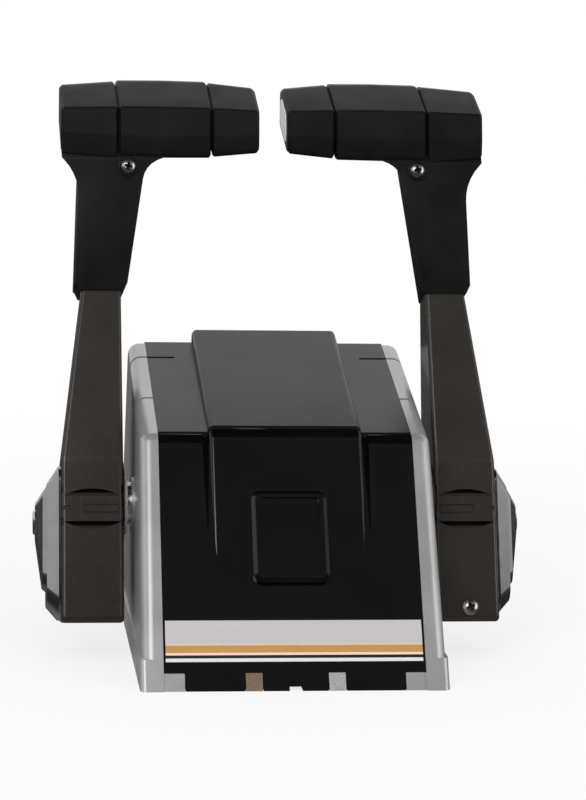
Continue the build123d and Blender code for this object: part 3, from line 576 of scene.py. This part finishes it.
def grip_moulding(name):
    """The starboard bar with its groove for the palm sleeve, and its stem."""
    inner_groove = PALM_IN_X - PALM_GAP
    outer_groove = PALM_OUT_X + PALM_GAP
    bar = skinned(name, [
        bar_ring(BAR_IN_X, TAPER_AT_END, END_BEVEL),
        bar_ring(BAR_IN_X + END_BEVEL, TAPER_AT_END),
        bar_ring(inner_groove - EDGE_BEVEL, TAPER_AT_GROOVE),
        bar_ring(inner_groove, TAPER_AT_GROOVE, EDGE_BEVEL),
        bar_ring(inner_groove, 1, GROOVE_DEPTH),
        bar_ring(outer_groove, 1, GROOVE_DEPTH),
        bar_ring(outer_groove, TAPER_AT_GROOVE, EDGE_BEVEL, MERGED_ROUND),
        bar_ring(outer_groove + EDGE_BEVEL, TAPER_AT_GROOVE, 0, MERGED_ROUND),
        bar_ring(BAR_OUT_X - END_BEVEL, TAPER_AT_END, 0, MERGED_ROUND),
        bar_ring(BAR_OUT_X, TAPER_AT_END, END_BEVEL, MERGED_ROUND),
    ])
    stem = stem_block()
    combine(bar, stem, "UNION")
    bpy.data.objects.remove(stem)
    return bar


def stem_block():
    """The stem's solid: a front outline run back along the bar's underside, trimmed at the side."""
    outline = rounded([(LEVER_IN_X + x, z) for x, z, _ in STEM_OUTLINE], [r for _, _, r in STEM_OUTLINE])
    rise = tan(atan2(BAR_CORNERS[5][1], BAR_CORNERS[5][0]) + REST_LEAN)
    stem = skinned("stem", [
        [on_lever(x, BAR_FOOT_Y + reach, z + reach * rise) for x, z in outline]
        for reach in (-STEM_FORWARD, STEM_REACH)
    ])
    side = skinned("side trim", [[on_lever(x, y, z) for y, z in STEM_SIDE] for x in (BAR_IN_X, BAR_OUT_X)])
    lip = skinned("lip trim", [
        [on_lever(LEVER_IN_X + x, y, z) for x, z in STEM_LIP] for y in (-STEM_REACH, STEM_REACH)
    ])
    for trim in (side, lip):
        combine(stem, trim, "INTERSECT")
        bpy.data.objects.remove(trim)
    rounding = stem.modifiers.new("rounding", "BEVEL")
    rounding.width = STEM_ROUND * MM
    rounding.segments = ROUND_SEGMENTS
    rounding.limit_method = "ANGLE"
    rounding.angle_limit = SMOOTH_BELOW
    settle(stem)
    return stem


def palm_sleeve(name):
    """The starboard sleeve, a little crowned, with softened mouths."""
    middle = (PALM_IN_X + PALM_OUT_X) / 2
    return skinned(name, [
        bar_ring(PALM_IN_X, TAPER_AT_PALM_EDGE, EDGE_BEVEL),
        bar_ring(PALM_IN_X + EDGE_BEVEL, TAPER_AT_PALM_EDGE),
        bar_ring(middle, 1),
        bar_ring(PALM_OUT_X - EDGE_BEVEL, TAPER_AT_PALM_EDGE),
        bar_ring(PALM_OUT_X, TAPER_AT_PALM_EDGE, EDGE_BEVEL),
        bar_ring(PALM_OUT_X, 1, PALM_WALL),
        bar_ring(PALM_IN_X, 1, PALM_WALL),
    ], looped=True)


def dress(piece, finish, body, slot, *stands_for):
    """Smooth a piece, give it its finish, and tie it to the frame."""
    piece.data.shade_smooth()
    piece.data.set_sharp_from_angle(angle=SMOOTH_BELOW)
    piece.data.materials.clear()
    piece.data.materials.append(finish)
    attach(piece, body)
    if stands_for:
        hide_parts(*stands_for)


grips = {}
for side in ("left", "right"):
    moulding = grip_moulding(side + "_grip_moulding")
    sleeve = palm_sleeve(side + "_palm_sleeve")
    for piece, node in ((moulding, "_grip_body"), (sleeve, "_grip_pad")):
        if side == "left":
            mirrored_port(piece)
        dress(piece, grip_skin, side + "_lever", "soft_black_grip", side + node)
    grips[side] = moulding


# ---- Grip end blanks ------------------------------------------------------------------
# A small pale ABS blank glued on the inboard end of each grip, lightly textured, with a
# softened rim.
BLANK_GRAIN_MM = 0.8
BLANK_INSET = 4.6
BLANK_PROUD = 0.3
BLANK_SUNK = 0.8
BLANK_RIM = 0.3

end_grey, tree, output = blank_material("pale grey ABS")
close(tree, output, {
    "Base Color": tones(tree, noise(tree, BLANK_GRAIN_MM, 3.0), "#dededf", "#ebebec"), "Roughness": 0.35,
    "Normal": relief(tree, noise(tree, BLANK_GRAIN_MM), 0.1, 0.15),
})
for side in ("left", "right"):
    blank = skinned(side + "_grip_blank", [
        bar_ring(BAR_IN_X - BLANK_PROUD, TAPER_AT_END, BLANK_INSET + BLANK_RIM),
        bar_ring(BAR_IN_X - BLANK_PROUD + BLANK_RIM, TAPER_AT_END, BLANK_INSET),
        bar_ring(BAR_IN_X + BLANK_SUNK, TAPER_AT_END, BLANK_INSET),
    ])
    if side == "left":
        mirrored_port(blank)
    dress(blank, end_grey, side + "_lever", "grey_end_plate", side + "_grip_end_plate")


# ---- Hub caps, buttons and shaft bushes -----------------------------------------------
# Zinc castings and turned brass, polished and chromium plated: near-mirror, slightly blue, with
# the buffing wheel's faint swirls. The caps' plate is painted darker, painted shade for their dim
# reflections.
SWIRL_MM = 9.0

for plate, dark, light, plated in (
    ("bright chromium plate", "#cfd0d2", "#d9dadc", ("throttle_button", "shaft_bush")),
    # painted shade: the hub caps' chrome is painted darker to dim what they reflect
    ("chromium plate darkened as painted shade", "#9a9b9c", "#a6a7a8", ("hub_cap",)),
):
    chrome, tree, output = blank_material(plate)
    close(tree, output, {
        "Base Color": tones(tree, noise(tree, SWIRL_MM, 3.0), dark, light), "Metallic": 1.0,
        "Roughness": between(tree, noise(tree, SWIRL_MM), 0.05, 0.14),
    })
    paint(chrome, *pair(*plated))


# ---- Thrust washers -------------------------------------------------------------------
# Turned from natural polyamide rod: milky white, faintly translucent, with fine tool marks.
LATHE_MM = 0.3

nylon, tree, output = blank_material("natural polyamide")
close(tree, output, {
    "Base Color": tones(tree, noise(tree, LATHE_MM, 3.0), "#e2e6e7", "#eef1f2"), "Roughness": 0.4,
    "Subsurface Weight": 0.1, "Subsurface Scale": 0.002,
    "Normal": relief(tree, noise(tree, LATHE_MM), 0.05, 0.1),
})
paint(nylon, *pair("thrust_washer"))


# ---- Screws ---------------------------------------------------------------------------
# Cold-headed stainless pan heads with a cross recess. One holds each grip's stem to its lever
# in a moulded cup, one clamps each lever to its shaft, and two hold the rear cover's foot.
HEAD_PROFILE = ((0.0, 0.56), (0.38, 0.54), (0.7, 0.44), (0.92, 0.27), (1.0, 0.1), (1.0, -0.15))
CUP_PROFILE = ((1.0, -0.15), (1.0, 0.1), (1.1, 0.2), (1.28, 0.16), (1.4, -0.15))
AROUND = 40
RECESS_REACH = 0.62       # these four are shares of the head's radius
RECESS_WIDTH = 0.2
RECESS_FLOOR = -0.1
RECESS_TOP = 0.8
RECESS_NARROWING = 0.5
GRIP_SCREW_D = 7.0        # diameters, and places in the frame, in millimetres
GRIP_SCREW_X = 65.3
GRIP_SCREW_Z = 207.1
CLAMP_SCREW_D = 7.6
CLAMP_SCREW_X = 82.6
CLAMP_SCREW_UP = 13.4     # above the lever's lowest point
REAR_SCREW_D = 7.0
REAR_SCREW_X = 38.0
REAR_SCREW_Z = 12.0
GRIP_SCREW_TURN = 0.2     # how far each cross is turned, in radians
CLAMP_SCREW_TURN = 0.4
REAR_SCREW_TURN = 0.3
FULL_TURN = 2 * pi
MERGE_SHARE = 0.001
BRUSH_MM = 0.4

stainless, tree, output = blank_material("cold-headed stainless steel")
close(tree, output, {
    "Base Color": tones(tree, noise(tree, BRUSH_MM, 3.0), "#a9a8a5", "#c4c3c0"), "Metallic": 1.0,
    "Roughness": between(tree, noise(tree, BRUSH_MM, 3.0), 0.2, 0.34),
})


def seat_on(part, x, z, sense):
    """Where a level line along Y, running ahead (1) or back (-1), first meets a part."""
    start = Vector((x, 0, z)) * MM - Vector((0, sense, 0))
    _, place, normal, _ = part.ray_cast(start, Vector((0, sense, 0)))
    return place, normal


def turned(name, profile, radius):
    """A mesh turned about Z from radius and height shares; off the axis it makes a ring."""
    shape = bmesh.new()
    points = [shape.verts.new((r * radius, 0, h * radius)) for r, h in profile]
    ends = points[1:] if profile[0][0] == 0 else points[1:] + points[:1]
    edges = [shape.edges.new(start_and_end) for start_and_end in zip(points, ends)]
    bmesh.ops.spin(
        shape, geom=points + edges, cent=(0, 0, 0), axis=(0, 0, 1), dvec=(0, 0, 0),
        angle=FULL_TURN, steps=AROUND, use_merge=True,
    )
    bmesh.ops.remove_doubles(shape, verts=shape.verts, dist=radius * MERGE_SHARE)
    bmesh.ops.holes_fill(shape, edges=[edge for edge in shape.edges if edge.is_boundary], sides=AROUND)
    bmesh.ops.recalc_face_normals(shape, faces=shape.faces)
    mesh = bpy.data.meshes.new(name)
    shape.to_mesh(mesh)
    shape.free()
    return mesh


def recess_slot(head, reach_x, reach_y, radius):
    """Cut one arm pair of the cross: a slot that narrows towards its floor."""
    rings = []
    for height, taper in ((RECESS_FLOOR, RECESS_NARROWING), (RECESS_TOP, 1.0)):
        rings.append([
            Vector((sx * reach_x * taper, sy * reach_y * taper, height)) * radius
            for sx, sy in ((-1, -1), (1, -1), (1, 1), (-1, 1))
        ])
    cutter = skinned("slot cutter", rings)
    combine(head, cutter, "DIFFERENCE")
    bpy.data.objects.remove(cutter)


def screw(name, seat, diameter, turn, body, cup=False):
    """A cross-recessed pan head on its seat, with a moulded cup round it if wanted."""
    place, normal = seat
    stand = Matrix.Translation(place) @ normal.to_track_quat("Z", "Y").to_matrix().to_4x4()
    head = link_object(name, turned(name, HEAD_PROFILE, diameter / 2 * MM))
    recess_slot(head, RECESS_REACH, RECESS_WIDTH, diameter / 2 * MM)
    recess_slot(head, RECESS_WIDTH, RECESS_REACH, diameter / 2 * MM)
    head.data.transform(stand @ Matrix.Rotation(turn, 4, "Z"))
    dress(head, stainless, body, "ground_steel")
    if cup:
        ring = link_object(name + "_cup", turned(name + "_cup", CUP_PROFILE, diameter / 2 * MM))
        ring.data.transform(stand)
        dress(ring, grip_skin, body, "soft_black_grip")


for side, hand in (("left", -1), ("right", 1)):
    grip_seat = seat_on(grips[side], hand * GRIP_SCREW_X, GRIP_SCREW_Z, 1)
    screw(
        side + "_grip_screw", grip_seat, GRIP_SCREW_D, hand * GRIP_SCREW_TURN, side + "_lever", cup=True,
    )
    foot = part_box(side + "_lever")[0][2] / MM
    clamp_seat = seat_on(nodes[side + "_lever"], hand * CLAMP_SCREW_X, foot + CLAMP_SCREW_UP, hand)
    screw(side + "_clamp_screw", clamp_seat, CLAMP_SCREW_D, hand * CLAMP_SCREW_TURN, side + "_lever")
    rear_seat = seat_on(nodes["rear_cover"], hand * REAR_SCREW_X, REAR_SCREW_Z, -1)
    screw(side + "_rear_screw", rear_seat, REAR_SCREW_D, hand * REAR_SCREW_TURN, "housing")


# ---- Shafts, gears and the rest of the running gear -----------------------------------
# Ground and milled steel behind the castings, wiped with oil that dulls it in patches.
TOOL_MARK_MM = 0.8
OIL_MM = 7.0

steel, tree, output = blank_material("oiled machined steel")
close(tree, output, {
    "Base Color": tones(tree, noise(tree, OIL_MM, 4.0), "#86837c", "#a5a4a1"), "Metallic": 1.0,
    "Roughness": between(tree, noise(tree, TOOL_MARK_MM, 4.0), 0.25, 0.45),
})
paint(steel, "shift_rod", *pair(
    "shaft", "drive_gear", "shift_gear", "detent_cam", "throttle_crank", "throttle_pin", "shift_arm",
    "shift_pin", "detent_spring",
))


# ---- Base plate, centre bracket and cable clamps --------------------------------------
# Die-cast aluminium with its sandy skin left bare.
CAST_SKIN_MM = 0.9

bare_alloy, tree, output = blank_material("bare die-cast aluminium")
close(tree, output, {
    "Base Color": tones(tree, noise(tree, CAST_SKIN_MM, 4.0), "#97989a", "#abacae"), "Metallic": 1.0,
    "Roughness": between(tree, noise(tree, CAST_SKIN_MM, 3.0), 0.42, 0.56),
    "Normal": relief(tree, noise(tree, CAST_SKIN_MM, 4.0), 0.2, 0.3),
})
paint(bare_alloy, "base_plate", "center_bracket", *pair("throttle_clamp", "shift_clamp"))


# ---- Brake pads -----------------------------------------------------------------------
# Woven resin-bonded lining, cut to fit the shaft's drum: brown, dry and coarse.
WEAVE_MM = 0.6

lining, tree, output = blank_material("woven brake lining")
close(tree, output, {
    "Base Color": tones(tree, noise(tree, WEAVE_MM, 3.0), "#3b2f27", "#6a5646"), "Roughness": 0.85,
    "Normal": relief(tree, noise(tree, WEAVE_MM, 3.0), 0.2, 0.4),
})
paint(lining, *pair("brake_pad"))


# ---- Front clips ----------------------------------------------------------------------
# Pressed spring steel that holds the panel's bottom edge: the port one yellow passivated, the
# starboard one bright zinc, both with the plating's spangle.
SPANGLE_MM = 0.7

for side, dark, light in (("left", "#786757", "#95826e"), ("right", "#a9a8a7", "#c9c8c6")):
    plating, tree, output = blank_material(side + " clip, zinc plate")
    close(tree, output, {
        "Base Color": tones(tree, noise(tree, SPANGLE_MM, 4.0), dark, light), "Metallic": 0.5,
        "Roughness": between(tree, noise(tree, SPANGLE_MM), 0.42, 0.56),
    })
    paint(plating, side + "_front_clip")
